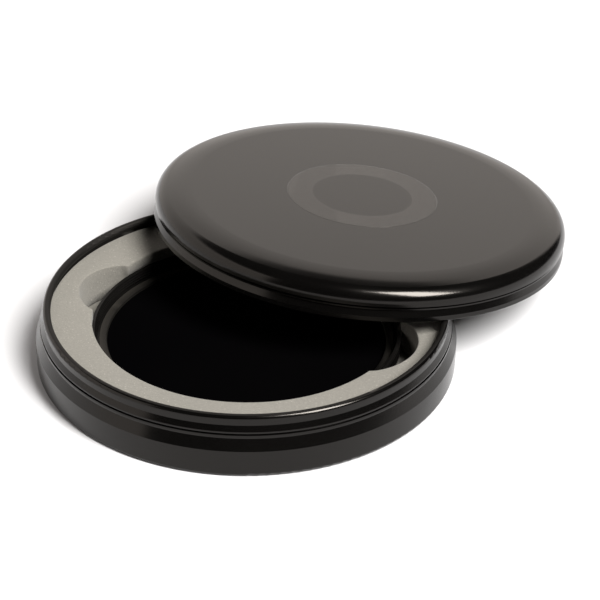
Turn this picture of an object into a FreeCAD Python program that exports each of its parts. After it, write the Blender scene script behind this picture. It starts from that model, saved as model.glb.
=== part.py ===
import FreeCAD, Part
import math
import os

# A round lidded tin for one threaded optical filter, shown open: the filter lies in its foam nest
# and the lid leans on the rim of the base. Millimetres, +Z up, and the origin is the centre of the
# tin's underside. Every round part is a closed (radius, height) outline turned about its own axis.
# Heights of the lid's parts count from the plane of the lid's lowest edge.

# Base shell
BASE_RADIUS = 53.0
BASE_HEIGHT = 15.65
SHEET = 0.8
FOOT_ROUND = 1.0
WALL_TOP = 7.2
SHOULDER_TOP = 10.1
LOWER_BEAD_RADIUS = 51.8
LOWER_BEAD_TOP = 10.9
UPPER_BEAD_RADIUS = 51.65
UPPER_BEAD_FOOT = 11.35
UPPER_BEAD_TOP = 11.8
BEAD_CROWN = 0.04
BEAD_GROOVE_RADIUS = 51.35
BEAD_GROOVE_FOOT = 10.95
BEAD_GROOVE_TOP = 11.3
NECK_RADIUS = 51.0
NECK_FOOT = 13.2
LIP_ROLL = 1.0
INNER_SHOULDER_HOLLOW = 0.3

# Foam in the base
FOAM_RADIUS = 49.9
PAD_THICKNESS = 1.5
NEST_TOP = 12.6
NEST_BRIM = 11.6
NEST_HOLE_RADIUS = 39.3
LEFT_NOTCH = {"azimuth": 162.0, "offset": 32.1, "radius": 12.7}
RIGHT_NOTCH = {"azimuth": -20.8, "offset": 30.8, "radius": 13.9}

# Filter
FRAME_RADIUS = 39.2
FRAME_TOP = 8.4
FRAME_FOOT = 4.25
REAR_THREAD_RADIUS = 38.4
REAR_THREAD_FOOT = 2.35
FRONT_THREAD_RADIUS = 38.1
FRONT_THREAD_FOOT = 5.6
RING_BORE_RADIUS = 37.3
SEAT_RADIUS = 37.1
SEAT_HEIGHT = 3.2
CLEAR_RADIUS = 35.9
EDGE_BREAK = 0.2
KNURL_FOOT = 5.2
KNURL_TOP = 7.5
KNURL_DEPTH = 0.25
KNURL_BEHIND = 0.8
KNURL_TEETH = 150
GLASS_RADIUS = 37.0
GLASS_THICKNESS = 1.4
RING_INNER_RADIUS = 35.3
RING_OUTER_RADIUS = 37.2
RING_TOP = 5.5
SLOT_WIDTH = 1.3
SLOT_DEPTH = 0.4
SLOT_AZIMUTH = 70.0

# Lid, in its own frame
LID_RADIUS = 55.1
LID_WALL_RADIUS = 55.0
LID_HEIGHT = 9.35
LID_FLAT_RADIUS = 45.9
LID_DOME_FOOT = 5.0
LID_EDGE_RADIUS = 3.6
LID_PLATE = 1.0
CEILING_RADIUS = 46.6
SKIRT_BORE_RADIUS = 52.15
SKIRT_EDGE_RADIUS = 2.0
RIM_ROUND = 0.3
RIM_BAND_TOP = 1.4
FLARE_RADIUS = 54.4
FLARE_TOP = 3.1
LID_BEAD_RADIUS = 54.7
LID_BEAD_FOOT = 3.2
LID_BEAD_TOP = 3.6
GROOVE_RADIUS = 54.3
GROOVE_FOOT = 3.8
GROOVE_TOP = 4.05
LID_WALL_FOOT = 4.15
LINER_RADIUS = 46.3
LINER_THICKNESS = 2.0

# Where the open lid leans
LID_CENTRE = (28.65, 42.5, 13.37)
LID_LEAN_DEG = 6.35
LID_LEAN_AZIMUTH_DEG = 48.3

UP = FreeCAD.Vector(0, 0, 1)
CENTRE = FreeCAD.Vector(0, 0, 0)


def edge_between(here, step):
    """A straight edge to (r, z), or an arc to (r, z, rise) that rises to the left of its chord."""
    start = FreeCAD.Vector(here[0], 0, here[1])
    end = FreeCAD.Vector(step[0], 0, step[1])
    if len(step) == 2:
        return Part.LineSegment(start, end).toShape()
    chord = end - start
    left = FreeCAD.Vector(-chord.z, 0, chord.x).normalize()
    through = (start + end) * 0.5 + left * step[2]
    return Part.Arc(start, through, end).toShape()


def turned(steps):
    """The solid of revolution of a closed outline of (r, z) points and (r, z, rise) arcs."""
    edges = [edge_between(here, step) for here, step in zip(steps, steps[1:] + steps[:1])]
    return Part.Face(Part.Wire(edges)).revolve(CENTRE, UP, 360)


def disc(radius, foot, top):
    return Part.makeCylinder(radius, top - foot, FreeCAD.Vector(0, 0, foot))


def quarter_rise(radius):
    """Height above its chord of a quarter circle."""
    return radius * (1 - math.cos(math.pi / 4))


def dome(flat_radius, top, wall_radius, foot, edge_radius):
    """Two tangent arcs from an upright wall, up and in to a flat top, as outline steps."""
    run = wall_radius - flat_radius - edge_radius
    rise = top - foot - edge_radius
    crown_angle = 2 * math.atan2(rise, run)
    crown_radius = edge_radius + run / math.sin(crown_angle)
    edge_angle = math.pi / 2 - crown_angle
    joint = (
        flat_radius + crown_radius * math.sin(crown_angle),
        top - crown_radius * (1 - math.cos(crown_angle)),
    )
    return [
        (wall_radius, foot),
        (*joint, -edge_radius * (1 - math.cos(edge_angle / 2))),
        (flat_radius, top, -crown_radius * (1 - math.cos(crown_angle / 2))),
    ]


def base_shell():
    """Pressed sheet base: round foot, straight wall, cone, two fine beads, neck, rolled lip."""
    lip_top = BASE_HEIGHT - LIP_ROLL
    lip_inner = NECK_RADIUS - 2 * LIP_ROLL
    outside = [
        (0, 0),
        (BASE_RADIUS - FOOT_ROUND, 0),
        (BASE_RADIUS, FOOT_ROUND, -quarter_rise(FOOT_ROUND)),
        (BASE_RADIUS, WALL_TOP),
        (LOWER_BEAD_RADIUS, SHOULDER_TOP),
        (LOWER_BEAD_RADIUS, LOWER_BEAD_TOP, -BEAD_CROWN),
        (BEAD_GROOVE_RADIUS, BEAD_GROOVE_FOOT),
        (BEAD_GROOVE_RADIUS, BEAD_GROOVE_TOP),
        (UPPER_BEAD_RADIUS, UPPER_BEAD_FOOT),
        (UPPER_BEAD_RADIUS, UPPER_BEAD_TOP, -BEAD_CROWN),
        (NECK_RADIUS, NECK_FOOT),
        (NECK_RADIUS, lip_top),
        (lip_inner, lip_top, -LIP_ROLL),
        (NECK_RADIUS - LIP_ROLL, lip_top - LIP_ROLL, -quarter_rise(LIP_ROLL)),
    ]
    inside = [
        (NECK_RADIUS - LIP_ROLL, UPPER_BEAD_FOOT),
        (BASE_RADIUS - SHEET, WALL_TOP - SHEET, INNER_SHOULDER_HOLLOW),
        (BASE_RADIUS - SHEET, 2 * SHEET),
        (BASE_RADIUS - 2 * SHEET, SHEET, quarter_rise(SHEET)),
        (0, SHEET),
    ]
    return turned(outside + inside)


def foam_floor_pad():
    return disc(FOAM_RADIUS, SHEET, SHEET + PAD_THICKNESS)


def foam_nest():
    """Foam ring whose top dips to a round hole for the filter, with two finger notches."""
    foot = SHEET + PAD_THICKNESS
    nest = turned([
        (NEST_HOLE_RADIUS, foot),
        (FOAM_RADIUS, foot),
        (FOAM_RADIUS, NEST_TOP),
        (NEST_HOLE_RADIUS, NEST_BRIM),
    ])
    for notch in (LEFT_NOTCH, RIGHT_NOTCH):
        cutter = disc(notch["radius"], foot, NEST_TOP)
        cutter.translate(FreeCAD.Vector(notch["offset"], 0, 0))
        cutter.rotate(CENTRE, UP, notch["azimuth"])
        nest = nest.cut(cutter)
    return nest


def knurled_band():
    """Upright V grooves round the filter's grip, as a ring that fills the frame's waist."""
    crest = FRAME_RADIUS - EDGE_BREAK / 2
    points = []
    for i in range(2 * KNURL_TEETH + 1):
        radius = crest - KNURL_DEPTH * (i % 2)
        angle = math.pi * i / KNURL_TEETH
        points.append(FreeCAD.Vector(radius * math.cos(angle), radius * math.sin(angle), KNURL_FOOT))
    points[-1] = points[0]
    band = Part.Face(Part.makePolygon(points)).extrude(UP * (KNURL_TOP - KNURL_FOOT))
    return band.cut(disc(FRAME_RADIUS - KNURL_BEHIND, KNURL_FOOT, KNURL_TOP))


def filter_frame():
    """Turned ring: rear male thread, knurled grip, front female thread, ledge for the glass."""
    waist = FRAME_RADIUS - EDGE_BREAK / 2 - KNURL_DEPTH
    body = turned([
        (CLEAR_RADIUS, REAR_THREAD_FOOT),
        (REAR_THREAD_RADIUS, REAR_THREAD_FOOT),
        (REAR_THREAD_RADIUS, FRAME_FOOT),
        (FRAME_RADIUS - EDGE_BREAK, FRAME_FOOT),
        (FRAME_RADIUS, FRAME_FOOT + EDGE_BREAK),
        (FRAME_RADIUS, KNURL_FOOT),
        (waist, KNURL_FOOT),
        (waist, KNURL_TOP),
        (FRAME_RADIUS, KNURL_TOP),
        (FRAME_RADIUS, FRAME_TOP - EDGE_BREAK),
        (FRAME_RADIUS - EDGE_BREAK, FRAME_TOP),
        (FRONT_THREAD_RADIUS + EDGE_BREAK, FRAME_TOP),
        (FRONT_THREAD_RADIUS, FRAME_TOP - EDGE_BREAK),
        (FRONT_THREAD_RADIUS, FRONT_THREAD_FOOT),
        (RING_BORE_RADIUS, FRONT_THREAD_FOOT),
        (RING_BORE_RADIUS, SEAT_HEIGHT + GLASS_THICKNESS),
        (SEAT_RADIUS, SEAT_HEIGHT + GLASS_THICKNESS),
        (SEAT_RADIUS, SEAT_HEIGHT),
        (CLEAR_RADIUS, SEAT_HEIGHT),
    ])
    return body.fuse(knurled_band()).removeSplitter()


def filter_glass():
    """Flat glass disc with bevelled edges, resting on the frame's ledge."""
    top = SEAT_HEIGHT + GLASS_THICKNESS
    return turned([
        (0, SEAT_HEIGHT),
        (GLASS_RADIUS - EDGE_BREAK, SEAT_HEIGHT),
        (GLASS_RADIUS, SEAT_HEIGHT + EDGE_BREAK),
        (GLASS_RADIUS, top - EDGE_BREAK),
        (GLASS_RADIUS - EDGE_BREAK, top),
        (0, top),
    ])


def filter_retaining_ring():
    """Ring that screws down on the glass, with two slots for a spanner."""
    foot = SEAT_HEIGHT + GLASS_THICKNESS
    ring = turned([
        (RING_INNER_RADIUS, foot),
        (RING_OUTER_RADIUS - EDGE_BREAK, foot),
        (RING_OUTER_RADIUS, foot + EDGE_BREAK),
        (RING_OUTER_RADIUS, RING_TOP),
        (RING_INNER_RADIUS + EDGE_BREAK, RING_TOP),
        (RING_INNER_RADIUS, RING_TOP - EDGE_BREAK),
    ])
    length = 2 * (RING_OUTER_RADIUS + SLOT_WIDTH)
    corner = FreeCAD.Vector(-length / 2, -SLOT_WIDTH / 2, RING_TOP - SLOT_DEPTH)
    slot = Part.makeBox(length, SLOT_WIDTH, 2 * SLOT_DEPTH, corner)
    slot.rotate(CENTRE, UP, SLOT_AZIMUTH)
    return ring.cut(slot)


def lid_shell():
    """Lid: flat top, domed shoulder, groove, fine bead, and a skirt that flares to the rim band."""
    outside = [
        (SKIRT_BORE_RADIUS + EDGE_BREAK, 0),
        (LID_RADIUS - RIM_ROUND, 0),
        (LID_RADIUS, RIM_ROUND, -quarter_rise(RIM_ROUND)),
        (LID_RADIUS, RIM_BAND_TOP),
        (FLARE_RADIUS, FLARE_TOP),
        (LID_BEAD_RADIUS, LID_BEAD_FOOT),
        (LID_BEAD_RADIUS, LID_BEAD_TOP),
        (GROOVE_RADIUS, GROOVE_FOOT),
        (GROOVE_RADIUS, GROOVE_TOP),
        (LID_WALL_RADIUS, LID_WALL_FOOT),
        *dome(LID_FLAT_RADIUS, LID_HEIGHT, LID_WALL_RADIUS, LID_DOME_FOOT, LID_EDGE_RADIUS),
        (0, LID_HEIGHT),
    ]
    ceiling = LID_HEIGHT - LID_PLATE
    inside = dome(CEILING_RADIUS, ceiling, SKIRT_BORE_RADIUS, LID_DOME_FOOT, SKIRT_EDGE_RADIUS)
    back = [(0, ceiling), inside[2][:2], (*inside[1][:2], -inside[2][2])]
    back += [(*inside[0], -inside[1][2]), (SKIRT_BORE_RADIUS, EDGE_BREAK)]
    return turned(outside + back)


def lid_liner():
    ceiling = LID_HEIGHT - LID_PLATE
    return disc(LINER_RADIUS, ceiling - LINER_THICKNESS, ceiling)


def leaning(shape):
    """Carries a lid part from the lid's own frame to where the open lid leans."""
    azimuth = math.radians(LID_LEAN_AZIMUTH_DEG)
    hinge = FreeCAD.Vector(-math.sin(azimuth), math.cos(azimuth), 0)
    shape.rotate(CENTRE, hinge, LID_LEAN_DEG)
    shape.translate(FreeCAD.Vector(*LID_CENTRE))
    return shape


PARTS = {
    "base_shell": base_shell(),
    "foam_floor_pad": foam_floor_pad(),
    "foam_nest": foam_nest(),
    "filter_frame": filter_frame(),
    "filter_glass": filter_glass(),
    "filter_retaining_ring": filter_retaining_ring(),
    "lid_shell": leaning(lid_shell()),
    "lid_liner": leaning(lid_liner()),
}

os.makedirs("parts", exist_ok=True)
for name, shape in PARTS.items():
    shape.exportStep("parts/" + name + ".step")
    print(name, shape.isValid(), len(shape.Solids), "volume", round(shape.Volume, 1), "mm3")
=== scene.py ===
import math

import bmesh
import bpy
from mathutils import Matrix, Vector


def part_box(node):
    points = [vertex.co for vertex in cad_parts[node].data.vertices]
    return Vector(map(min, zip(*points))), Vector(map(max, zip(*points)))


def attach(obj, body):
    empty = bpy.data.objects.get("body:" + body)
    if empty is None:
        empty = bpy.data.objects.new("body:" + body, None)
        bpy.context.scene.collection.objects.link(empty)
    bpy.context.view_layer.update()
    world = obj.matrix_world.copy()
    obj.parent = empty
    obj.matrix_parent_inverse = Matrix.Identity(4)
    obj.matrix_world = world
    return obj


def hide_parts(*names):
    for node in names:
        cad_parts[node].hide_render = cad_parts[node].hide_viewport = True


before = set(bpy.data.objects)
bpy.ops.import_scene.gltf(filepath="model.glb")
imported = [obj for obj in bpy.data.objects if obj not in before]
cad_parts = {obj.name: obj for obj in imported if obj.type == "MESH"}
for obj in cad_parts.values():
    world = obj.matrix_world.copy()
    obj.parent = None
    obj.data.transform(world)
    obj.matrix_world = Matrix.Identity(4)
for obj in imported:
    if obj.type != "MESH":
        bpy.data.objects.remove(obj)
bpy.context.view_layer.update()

# A round black tin for one threaded filter. The tin's own axis is Z, and its underside is at the
# origin. The open lid has an axis of its own, from its centre and its lean below.

MM = 0.001

# Tin
FOAM_RADIUS = 49.9 * MM
LIP_CREST_RADIUS = 50.35 * MM
NEST_HOLE_RADIUS = 39.3 * MM
NEST_BRIM = 11.6 * MM
NEST_GRIP = 0.4 * MM
NEST_EDGE = 0.45 * MM
NEST_STEPS = 720
FILTER_TOP = 8.4 * MM
PAD_EDGE = 0.3 * MM
# Each finger notch: azimuth in degrees, offset and radius in millimetres
NOTCHES = ((162.0, 32.1, 12.7), (-20.8, 30.8, 13.9))

# Filter threads
THREAD_PITCH = 0.75 * MM
THREAD_DEPTH = 0.22 * MM
THREAD_STEPS_PER_TURN = 160
THREAD_TAPER_STEPS = 12
# Half the ridge's width at its root as a part of the pitch, and its crest as a part of that
THREAD_HALF_WIDTH = 0.36
THREAD_CREST = 0.15
FRONT_THREAD_RADIUS = 38.1 * MM
# The front thread's ends, above the retaining ring and below the frame's top
FRONT_THREAD_START = 0.25 * MM
FRONT_THREAD_STOP = 0.65 * MM
REAR_THREAD_RADIUS = 38.4 * MM
# The rear thread's ends, both above the frame's foot
REAR_THREAD_START = 0.3 * MM
REAR_THREAD_STOP = 1.35 * MM

# Lid
LID_CENTRE = Vector((28.65, 42.5, 13.37)) * MM
LID_LEAN = math.radians(6.35)
LID_LEAN_AZIMUTH = math.radians(48.3)
LID_TOP = 9.35 * MM
LID_CEILING = 8.35 * MM
LINER_RADIUS = 46.3 * MM
LINER_THICKNESS = 2.0 * MM
LINER_EDGE = 0.4 * MM
# Fine turned rings on the middle of the lid: first and last radius, and their spacing
TURNED_RINGS = (13.6 * MM, 20.0 * MM, 0.4 * MM)
RING_HEIGHT = 0.006 * MM
RING_SUNK = 0.05 * MM
# Half a turned ring's width as a part of the spacing
RING_HALF_WIDTH = 0.38
RING_STEPS = 288

# Foam discs and rounded edges
DISC_RINGS = 12
DISC_STEPS = 180
BEND_POINTS = 5
# A turned outline's point closer to the axis than this is on it
AXIS_TOLERANCE = 1e-7

# Camera
CAMERA_ELEVATION = math.radians(31.77)
CAMERA_DISTANCE = 531.6 * MM
CAMERA_AIM = Vector((13.3, 25.75, 0.0)) * MM
CAMERA_ROLL = math.radians(1.22)
CAMERA_LENS_MM = 120.0
CAMERA_SENSOR_MM = 36.0
CAMERA_CLIP_START = 0.01

# Studio
FLOOR_HALF_WIDTH = 3.0
KEY_AZIMUTH = math.radians(-38)
KEY_ELEVATION = math.radians(52)
KEY_DISTANCE = 4.0
KEY_AIM = Vector((0.01, 0.02, 0.01))
KEY_WIDTH, KEY_HEIGHT = 1.4, 2.3
KEY_POWER = 400.0
KEY_COLOUR = (1.0, 0.97, 0.93)
WALL_COLOUR = (1.0, 0.93, 0.87, 1)
# The back wall of light: the way to its middle, then where it fades out, as parts of a direction
WALL_DIRECTION = (-0.743, 0.669, 0.0)
WALL_SIDE_FADE = (0.08, 0.16)
WALL_TOP_FADE = (0.63, 0.685)
WALL_DIMMER_BELOW = (0.50, 0.62, 0.80, 1.0)
WALL_STRENGTH = (0.02, 1.43)

# Tones of the foam, as light and dark base colours; they also paint its pore shade and glints
FOAM_LIGHT = (0.190, 0.183, 0.163)
FOAM_DARK = (0.132, 0.128, 0.114)


# ---------------------------------------------------------------- frames of reference

def lid_matrix():
    """Carries the lid's own frame, +Z through its top, to where the open lid leans."""
    hinge = Vector((-math.sin(LID_LEAN_AZIMUTH), math.cos(LID_LEAN_AZIMUTH), 0.0))
    return Matrix.Translation(LID_CENTRE) @ Matrix.Rotation(LID_LEAN, 4, hinge)


LID = lid_matrix()
TIN = Matrix.Identity(4)


# ---------------------------------------------------------------- node helpers

class Nodes:
    """A small builder for one node material."""

    def __init__(self, name):
        self.material = bpy.data.materials.new(name)
        self.material.use_nodes = True
        self.tree = self.material.node_tree
        self.shader = self.tree.nodes["Principled BSDF"]

    def add(self, kind, **settings):
        node = self.tree.nodes.new(kind)
        for key, value in settings.items():
            setattr(node, key, value)
        return node

    def feed(self, socket, value):
        if isinstance(value, bpy.types.NodeSocket):
            self.tree.links.new(value, socket)
        elif value is not None:
            socket.default_value = value

    def math(self, operation, a, b=None):
        node = self.add("ShaderNodeMath", operation=operation)
        self.feed(node.inputs[0], a)
        self.feed(node.inputs[1], b)
        return node.outputs[0]

    def vector(self, operation, a, b=None):
        node = self.add("ShaderNodeVectorMath", operation=operation)
        self.feed(node.inputs[0], a)
        self.feed(node.inputs[1], b)
        return node.outputs["Value"] if operation == "DOT_PRODUCT" else node.outputs["Vector"]

    def noise(self, vector, scale, detail=3.0, roughness=0.55):
        node = self.add("ShaderNodeTexNoise")
        self.feed(node.inputs["Vector"], vector)
        node.inputs["Scale"].default_value = scale
        node.inputs["Detail"].default_value = detail
        node.inputs["Roughness"].default_value = roughness
        return node.outputs["Fac"]

    def voronoi(self, vector, scale):
        node = self.add("ShaderNodeTexVoronoi", feature="F1")
        self.feed(node.inputs["Vector"], vector)
        node.inputs["Scale"].default_value = scale
        return node.outputs["Distance"]

    def map(self, value, low, high, to_low, to_high):
        node = self.add("ShaderNodeMapRange", clamp=True)
        self.feed(node.inputs["Value"], value)
        node.inputs["From Min"].default_value = low
        node.inputs["From Max"].default_value = high
        node.inputs["To Min"].default_value = to_low
        node.inputs["To Max"].default_value = to_high
        return node.outputs["Result"]

    def mix_colour(self, factor, a, b):
        node = self.add("ShaderNodeMix", data_type="RGBA")
        self.feed(node.inputs["Factor"], factor)
        self.feed(node.inputs["A"], (*a, 1.0) if isinstance(a, tuple) else a)
        self.feed(node.inputs["B"], (*b, 1.0) if isinstance(b, tuple) else b)
        return node.outputs["Result"]

    def bump(self, height, strength, distance, normal=None):
        node = self.add("ShaderNodeBump")
        node.inputs["Strength"].default_value = strength
        node.inputs["Distance"].default_value = distance
        self.feed(node.inputs["Height"], height)
        if normal is not None:
            self.feed(node.inputs["Normal"], normal)
        return node.outputs["Normal"]

    def place(self):
        return self.add("ShaderNodeTexCoord").outputs["Object"]

    def lathe(self, matrix):
        """Radius from a turned part's axis, and height along it."""
        origin = matrix.translation
        from_origin = self.vector("SUBTRACT", self.place(), tuple(origin))
        along = [self.vector("DOT_PRODUCT", from_origin, tuple(matrix.col[i].xyz)) for i in range(3)]
        squares = [self.math("MULTIPLY", value, value) for value in along[:2]]
        radius = self.math("SQRT", self.math("ADD", *squares))
        return radius, along[2]


# ---------------------------------------------------------------- materials

def anodised_black(name, matrix, tone=0.0015, roughness=0.17, ior=1.35, matt_within=0.0):
    """Satin black anodised metal: turned hairlines, a soft mottling and bare worn edges.

    Where matt_within is given, the metal nearer the axis than that is matt.
    """
    n = Nodes(name)
    place = n.place()
    radius, height = n.lathe(matrix)
    mottle = n.noise(place, 60.0, 4.0)
    grain = n.noise(place, 2600.0, 2.0)
    hairline = n.add("ShaderNodeTexNoise", noise_dimensions="1D")
    n.feed(hairline.inputs["W"], n.math("ADD", radius, height))
    hairline.inputs["Scale"].default_value = 9000.0
    hairline.inputs["Detail"].default_value = 2.0
    colour = n.mix_colour(n.map(mottle, 0.35, 0.7, 0.0, 1.0),
                          (tone, tone * 0.94, tone * 0.9), (tone * 1.2, tone * 1.13, tone * 1.07))
    edge = n.add("ShaderNodeNewGeometry").outputs["Pointiness"]
    wear = n.map(n.math("ADD", edge, n.math("MULTIPLY", mottle, 0.05)), 0.575, 0.62, 0.0, 0.35)
    colour = n.mix_colour(wear, colour, (0.10, 0.096, 0.09))
    n.feed(n.shader.inputs["Base Color"], colour)
    rough = n.map(n.math("ADD", mottle, n.math("MULTIPLY", hairline.outputs["Fac"], 0.25)),
                  0.4, 0.85, roughness - 0.015, roughness + 0.025)
    if matt_within:
        matt = n.map(radius, matt_within, matt_within + 0.1 * MM, 0.6, 0.0)
        rough = n.math("MAXIMUM", rough, matt)
    n.feed(n.shader.inputs["Roughness"], rough)
    n.shader.inputs["IOR"].default_value = ior
    n.shader.inputs["Specular Tint"].default_value = (1.0, 0.95, 0.90, 1.0)
    fine = n.bump(grain, 0.08, 0.00004)
    n.feed(n.shader.inputs["Normal"], n.bump(hairline.outputs["Fac"], 0.02, 0.00002, fine))
    return n.material


def filter_metal(name, tone=0.003, roughness=0.34, level=0.25):
    """Fine bead-blasted black of the filter's frame and ring, a little bare on its sharp edges."""
    n = Nodes(name)
    place = n.place()
    speck = n.noise(place, 3500.0, 2.0)
    cloud = n.noise(place, 120.0, 3.0)
    colour = n.mix_colour(n.map(cloud, 0.35, 0.7, 0.0, 1.0),
                          (tone, tone * 0.93, tone * 0.86), (tone * 1.5, tone * 1.4, tone * 1.3))
    edge = n.add("ShaderNodeNewGeometry").outputs["Pointiness"]
    colour = n.mix_colour(n.map(edge, 0.56, 0.6, 0.0, 0.5), colour, (0.13, 0.12, 0.105))
    n.feed(n.shader.inputs["Base Color"], colour)
    n.feed(n.shader.inputs["Roughness"], n.map(speck, 0.3, 0.7, roughness - 0.06, roughness + 0.08))
    n.shader.inputs["IOR"].default_value = 1.3
    n.shader.inputs["Specular IOR Level"].default_value = level
    n.feed(n.shader.inputs["Normal"], n.bump(speck, 0.15, 0.00003))
    return n.material


def coated_glass(name):
    """Nearly opaque neutral density glass, with a coating that takes its reflections down."""
    n = Nodes(name)
    cloud = n.noise(n.place(), 25.0, 2.0)
    colour = n.mix_colour(cloud, (0.0006, 0.0006, 0.0008), (0.0012, 0.0011, 0.0012))
    n.feed(n.shader.inputs["Base Color"], colour)
    n.feed(n.shader.inputs["Roughness"], n.map(cloud, 0.3, 0.7, 0.03, 0.06))
    n.shader.inputs["IOR"].default_value = 1.45
    n.shader.inputs["Specular IOR Level"].default_value = 0.0
    return n.material


def grey_foam(name, light=FOAM_LIGHT, dark=FOAM_DARK):
    """Fine closed-cell foam: open cells in the cut face, slow tone changes, painted pore shade and
    glints.
    """
    n = Nodes(name)
    place = n.place()
    cells = n.voronoi(place, 2400.0)
    shaded_pores = n.voronoi(place, 900.0)
    tone = n.noise(place, 45.0, 4.0)
    fleck = n.noise(place, 1500.0, 3.0, 0.7)
    body = n.mix_colour(n.map(tone, 0.3, 0.7, 0.0, 1.0), tuple(0.93 * v for v in light), light)
    body = n.mix_colour(n.map(fleck, 0.35, 0.65, 0.45, 0.0), body, dark)
    # Painted shade: the foam's pores are darkened in its colour, as the shade that falls into them
    body = n.mix_colour(n.map(shaded_pores, 0.0, 0.25, 0.35, 0.0), body, dark)
    # Painted glints: small spots of the foam's colour are made brighter, as light caught on its cells
    painted_glints = n.noise(place, 2200.0, 1.0)
    body = n.mix_colour(n.map(painted_glints, 0.66, 0.72, 0.0, 0.45), body, tuple(1.9 * v for v in light))
    n.feed(n.shader.inputs["Base Color"], body)
    n.feed(n.shader.inputs["Roughness"], n.map(fleck, 0.2, 0.8, 0.86, 0.98))
    n.shader.inputs["IOR"].default_value = 1.35
    n.shader.inputs["Sheen Weight"].default_value = 0.15
    n.shader.inputs["Sheen Roughness"].default_value = 0.6
    first = n.bump(cells, 0.35, 0.00012)
    n.feed(n.shader.inputs["Normal"], n.bump(fleck, 0.35, 0.00015, first))
    return n.material


def floor_white(name):
    """Plain matt paper with a very slow change of tone."""
    n = Nodes(name)
    colour = n.mix_colour(n.noise(n.place(), 3.0, 2.0), (0.62, 0.63, 0.655), (0.64, 0.65, 0.675))
    n.feed(n.shader.inputs["Base Color"], colour)
    n.shader.inputs["Roughness"].default_value = 0.8
    n.shader.inputs["IOR"].default_value = 1.2
    return n.material


# ---------------------------------------------------------------- mesh helpers

def piece(name, mesh, body, material):
    """Adds a mesh as one visible piece that rides on a body."""
    obj = bpy.data.objects.new(name, mesh)
    bpy.context.scene.collection.objects.link(obj)
    mesh.materials.append(material)
    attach(obj, body)
    return obj


def smooth(mesh):
    mesh.polygons.foreach_set("use_smooth", [True] * len(mesh.polygons))
    mesh.update()


def quarter_bend():
    """Angles from 0 to a quarter turn, for rounding an edge."""
    return [math.pi / 2 * k / (BEND_POINTS - 1) for k in range(BEND_POINTS)]


def swept_ring(name, sections):
    """A closed band through equal point lists, one section after another all the way round."""
    mesh = bpy.data.meshes.new(name)
    count = len(sections[0])
    points = [point for section in sections for point in section]
    faces = []
    for i in range(len(sections)):
        here = i * count
        there = (i + 1) % len(sections) * count
        for j in range(count):
            k = (j + 1) % count
            faces.append((here + j, there + j, there + k, here + k))
    mesh.from_pydata(points, [], faces)
    mesh.validate()
    smooth(mesh)
    return mesh


# ---------------------------------------------------------------- threads

def thread_ridge(name, radius, foot, top, inward):
    """One continuous helical ridge on a round wall, tapering to nothing at both ends."""
    turns = (top - foot) / THREAD_PITCH
    steps = int(turns * THREAD_STEPS_PER_TURN)
    side = -1.0 if inward else 1.0
    mesh = bpy.data.meshes.new(name)
    points = []
    for i in range(steps + 1):
        angle = 2 * math.pi * i / THREAD_STEPS_PER_TURN
        taper = min(1.0, i / THREAD_TAPER_STEPS, (steps - i) / THREAD_TAPER_STEPS)
        middle = foot + THREAD_PITCH * i / THREAD_STEPS_PER_TURN
        half = THREAD_PITCH * THREAD_HALF_WIDTH * taper
        crest = radius + side * THREAD_DEPTH * taper
        for r, z in ((radius, middle - half), (crest, middle - half * THREAD_CREST),
                     (crest, middle + half * THREAD_CREST), (radius, middle + half)):
            points.append((r * math.cos(angle), r * math.sin(angle), z))
    faces = []
    for i in range(steps):
        for j in range(3):
            a = i * 4 + j
            quad = (a, a + 4, a + 5, a + 1)
            faces.append(quad[::-1] if inward else quad)
    mesh.from_pydata(points, [], faces)
    mesh.validate()
    return mesh


# ---------------------------------------------------------------- foam

def notched_radius(angle):
    """Inner edge of the foam nest at an angle: the round hole, or a finger notch beyond it."""
    edge = NEST_HOLE_RADIUS
    for azimuth, offset, radius in NOTCHES:
        turn = angle - math.radians(azimuth)
        along = offset * MM * math.cos(turn)
        across = offset * MM * math.sin(turn)
        reach = (radius * MM) ** 2 - across ** 2
        if reach > 0:
            edge = max(edge, along + math.sqrt(reach))
    return edge


def nest_profile(wall, foot, top):
    """The foam ring's outline in (r, z), where its hole or notch is cut to a given radius."""
    edge, outer = NEST_EDGE, FOAM_RADIUS
    # The grip fades out over the first millimetre of a notch
    inner = wall - NEST_GRIP * max(0.0, 1.0 - (wall - NEST_HOLE_RADIUS) / MM)
    brim = NEST_BRIM + (top - NEST_BRIM) * (inner - NEST_HOLE_RADIUS) / (outer - NEST_HOLE_RADIUS)
    start = inner + edge
    profile = [(outer - edge, foot), (wall + edge, foot), (wall, foot + edge)]
    profile += [(wall, foot + (FILTER_TOP - foot) * t) for t in (0.5, 1.0)]
    profile.append((inner, FILTER_TOP + edge))
    profile += [(inner + edge * (1 - math.cos(bend)), brim - edge + edge * math.sin(bend))
                for bend in quarter_bend()]
    profile += [(start + (outer - start) * t, brim + (top - brim) * t) for t in (0.25, 0.5, 0.75)]
    profile += [(outer - edge * (1 - math.sin(bend)), top - edge + edge * math.cos(bend))
                for bend in quarter_bend()]
    profile += [(outer, (foot + top) / 2), (outer, foot + edge)]
    return profile


def foam_nest_mesh():
    """The foam ring: its top dips to the hole, and its upper edge closes a little over the filter."""
    low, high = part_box("foam_nest")
    sections = []
    for i in range(NEST_STEPS):
        angle = 2 * math.pi * i / NEST_STEPS
        profile = nest_profile(notched_radius(angle), low[2], high[2])
        sections.append([(r * math.cos(angle), r * math.sin(angle), z) for r, z in profile])
    return swept_ring("foam_nest_cut", sections)


def disc_mesh(name, radius, foot, top, edge, matrix=TIN):
    """A foam disc with rounded rims, ringed so that it can carry relief."""
    profile = [(radius * t / DISC_RINGS, top) for t in range(DISC_RINGS)]
    profile += [(radius - edge * (1 - math.sin(bend)), top - edge + edge * math.cos(bend))
                for bend in quarter_bend()]
    profile += [(radius - edge * (1 - math.cos(bend)), foot + edge - edge * math.sin(bend))
                for bend in quarter_bend()]
    profile += [(radius * t / DISC_RINGS, foot) for t in range(DISC_RINGS - 1, -1, -1)]
    return lathe_mesh(name, profile, matrix, DISC_STEPS)


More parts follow.
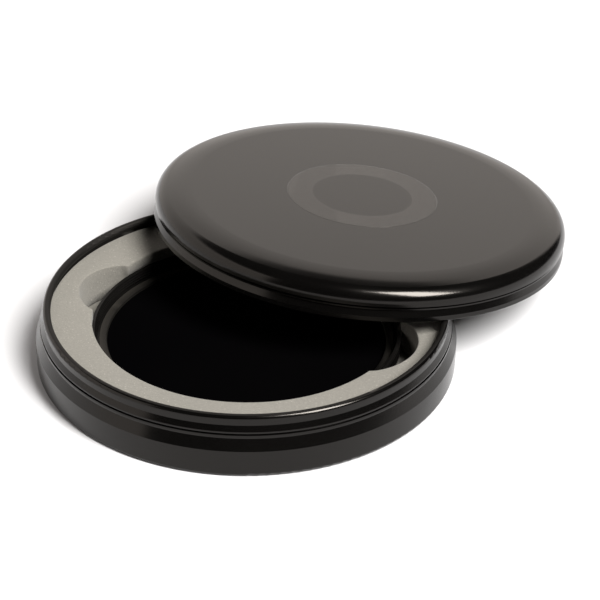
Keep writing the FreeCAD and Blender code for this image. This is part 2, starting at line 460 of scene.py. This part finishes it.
def lathe_mesh(name, profile, matrix, steps):
    """A turned mesh from (r, z) points, closed at the axis where r is 0."""
    bm = bmesh.new()
    rings = []
    for r, z in profile:
        if r < AXIS_TOLERANCE:
            rings.append([bm.verts.new((0, 0, z))])
            continue
        ring = []
        for i in range(steps):
            angle = 2 * math.pi * i / steps
            ring.append(bm.verts.new((r * math.cos(angle), r * math.sin(angle), z)))
        rings.append(ring)
    for a, b in zip(rings, rings[1:]):
        for i in range(steps):
            j = (i + 1) % steps
            corners = [a[i % len(a)], b[i % len(b)], b[j % len(b)], a[j % len(a)]]
            unique = list(dict.fromkeys(corners))
            if len(unique) > 2:
                bm.faces.new(unique)
    bm.normal_update()
    mesh = bpy.data.meshes.new(name)
    bmesh.ops.recalc_face_normals(bm, faces=bm.faces)
    bm.to_mesh(mesh)
    bm.free()
    mesh.transform(matrix)
    smooth(mesh)
    return mesh


# ---------------------------------------------------------------- stage, light, camera

def make_floor():
    """A square floor at Z 0, wide enough to fill every view."""
    mesh = bpy.data.meshes.new("floor")
    size = FLOOR_HALF_WIDTH
    mesh.from_pydata([(-size, -size, 0), (size, -size, 0), (size, size, 0), (-size, size, 0)],
                     [], [(0, 1, 2, 3)])
    floor = bpy.data.objects.new("floor", mesh)
    bpy.context.scene.collection.objects.link(floor)
    mesh.materials.append(floor_white("floor_white"))


def make_key_light():
    """One large softbox at the front right."""
    place = KEY_DISTANCE * Vector((math.cos(KEY_ELEVATION) * math.cos(KEY_AZIMUTH),
                                   math.cos(KEY_ELEVATION) * math.sin(KEY_AZIMUTH),
                                   math.sin(KEY_ELEVATION)))
    data = bpy.data.lights.new("key_softbox", "AREA")
    data.shape = "RECTANGLE"
    data.size = KEY_WIDTH
    data.size_y = KEY_HEIGHT
    data.energy = KEY_POWER
    data.color = KEY_COLOUR
    lamp = bpy.data.objects.new("key_softbox", data)
    lamp.location = place
    lamp.rotation_euler = (KEY_AIM - place).to_track_quat("-Z", "Y").to_euler()
    bpy.context.scene.collection.objects.link(lamp)


def make_back_wall():
    """A pale wall of light all along the back left, as the world's own light."""
    world = bpy.data.worlds.new("studio")
    bpy.context.scene.world = world
    world.use_nodes = True
    tree = world.node_tree
    background = tree.nodes["Background"]
    background.inputs["Color"].default_value = WALL_COLOUR

    def node(kind, **settings):
        made = tree.nodes.new(kind)
        for key, value in settings.items():
            setattr(made, key, value)
        return made

    def ramp(value, low, high, to_low, to_high):
        made = node("ShaderNodeMapRange", interpolation_type="SMOOTHSTEP")
        tree.links.new(value, made.inputs["Value"])
        made.inputs["From Min"].default_value = low
        made.inputs["From Max"].default_value = high
        made.inputs["To Min"].default_value = to_low
        made.inputs["To Max"].default_value = to_high
        return made.outputs["Result"]

    def product(a, b):
        made = node("ShaderNodeMath", operation="MULTIPLY")
        tree.links.new(a, made.inputs[0])
        tree.links.new(b, made.inputs[1])
        return made.outputs[0]

    split = node("ShaderNodeSeparateXYZ")
    coordinates = node("ShaderNodeTexCoord").outputs["Generated"]
    tree.links.new(coordinates, split.inputs[0])
    across = node("ShaderNodeVectorMath", operation="DOT_PRODUCT")
    tree.links.new(coordinates, across.inputs[0])
    across.inputs[1].default_value = WALL_DIRECTION
    height = split.outputs["Z"]
    below_top = ramp(height, *WALL_TOP_FADE, 1.0, 0.0)
    behind = ramp(across.outputs["Value"], *WALL_SIDE_FADE, 0.0, 1.0)
    dimmed = product(product(below_top, behind), ramp(height, *WALL_DIMMER_BELOW))
    strength = ramp(dimmed, 0.0, 1.0, *WALL_STRENGTH)
    tree.links.new(strength, background.inputs["Strength"])


def make_camera():
    """A long lens from the front, above the tin and turned a little about its own view."""
    back = Vector((0, -math.cos(CAMERA_ELEVATION), math.sin(CAMERA_ELEVATION)))
    right = Vector((1, 0, 0))
    up = right.cross(-back)
    turned_right = math.cos(CAMERA_ROLL) * right + math.sin(CAMERA_ROLL) * up
    turned_up = math.cos(CAMERA_ROLL) * up - math.sin(CAMERA_ROLL) * right
    data = bpy.data.cameras.new("camera")
    data.sensor_width = CAMERA_SENSOR_MM
    data.lens = CAMERA_LENS_MM
    data.clip_start = CAMERA_CLIP_START
    camera = bpy.data.objects.new("camera", data)
    rotation = Matrix((turned_right, turned_up, back)).transposed().to_4x4()
    camera.matrix_world = Matrix.Translation(CAMERA_AIM + CAMERA_DISTANCE * back) @ rotation
    bpy.context.scene.collection.objects.link(camera)
    bpy.context.scene.camera = camera


# ---------------------------------------------------------------- the object

def paint(node, material):
    """Gives a CAD node its material."""
    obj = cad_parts[node]
    obj.data.materials.clear()
    obj.data.materials.append(material)


def even_shading(node):
    """Weights a CAD node's normals by face area, so that its broad faces shade evenly."""
    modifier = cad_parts[node].modifiers.new("even_shading", "WEIGHTED_NORMAL")
    modifier.keep_sharp = True
    modifier.weight = 100


def make_tin_and_lid():
    """The base's metal, matt inside its lip, and the lid's, with rings on its top."""
    paint("base_shell", anodised_black("tin_black", TIN, matt_within=LIP_CREST_RADIUS))
    even_shading("base_shell")
    paint("lid_shell", anodised_black("lid_black", LID))
    lid_rings(anodised_black("lid_ring_black", LID, tone=0.008, roughness=0.2, ior=1.48))


def make_filter():
    """The filter's metal and glass, and the threads at both ends of its frame."""
    metal = filter_metal("filter_black")
    paint("filter_frame", metal)
    paint("filter_retaining_ring", filter_metal("ring_black", tone=0.004, roughness=0.4, level=0.1))
    paint("filter_glass", coated_glass("coated_glass"))
    low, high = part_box("filter_frame")
    ring_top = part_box("filter_retaining_ring")[1][2]
    front = thread_ridge("front_thread", FRONT_THREAD_RADIUS, ring_top + FRONT_THREAD_START,
                         high[2] - FRONT_THREAD_STOP, inward=True)
    piece("filter_front_thread_ridge", front, "filter", metal)
    rear = thread_ridge("rear_thread", REAR_THREAD_RADIUS, low[2] + REAR_THREAD_START,
                        low[2] + REAR_THREAD_STOP, inward=False)
    piece("filter_rear_thread_ridge", rear, "filter", metal)


def lid_rings(material):
    """Fine concentric ridges turned into the middle of the lid."""
    first, last, pitch = TURNED_RINGS
    half = pitch * RING_HALF_WIDTH
    profile = []
    for i in range(int(round((last - first) / pitch)) + 1):
        r = first + i * pitch
        profile += [(r - half, LID_TOP), (r, LID_TOP + RING_HEIGHT), (r + half, LID_TOP)]
    profile += [(last, LID_TOP - RING_SUNK), (first, LID_TOP - RING_SUNK), profile[0]]
    mesh = lathe_mesh("lid_rings", profile, LID, RING_STEPS)
    piece("lid_centre_rings", mesh, "lid", material)


def make_foam():
    """The nest and the pad in the tin, and the liner in the lid, all of one grey foam."""
    foam = grey_foam("grey_foam")
    nest = piece("foam_nest_cut", foam_nest_mesh(), "tin_base", foam)
    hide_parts("foam_nest")
    low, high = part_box("foam_floor_pad")
    pad_mesh = disc_mesh("foam_pad", FOAM_RADIUS, low[2], high[2], PAD_EDGE)
    pad = piece("foam_pad", pad_mesh, "tin_base", foam)
    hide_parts("foam_floor_pad")
    liner_mesh = disc_mesh("lid_foam", LINER_RADIUS, LID_CEILING - LINER_THICKNESS, LID_CEILING,
                           LINER_EDGE, LID)
    liner = piece("lid_foam_liner", liner_mesh, "lid", foam)
    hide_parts("lid_liner")


make_camera()
make_floor()
make_key_light()
make_back_wall()
make_tin_and_lid()
make_filter()
make_foam()

bpy.context.scene.view_settings.view_transform = "Standard"
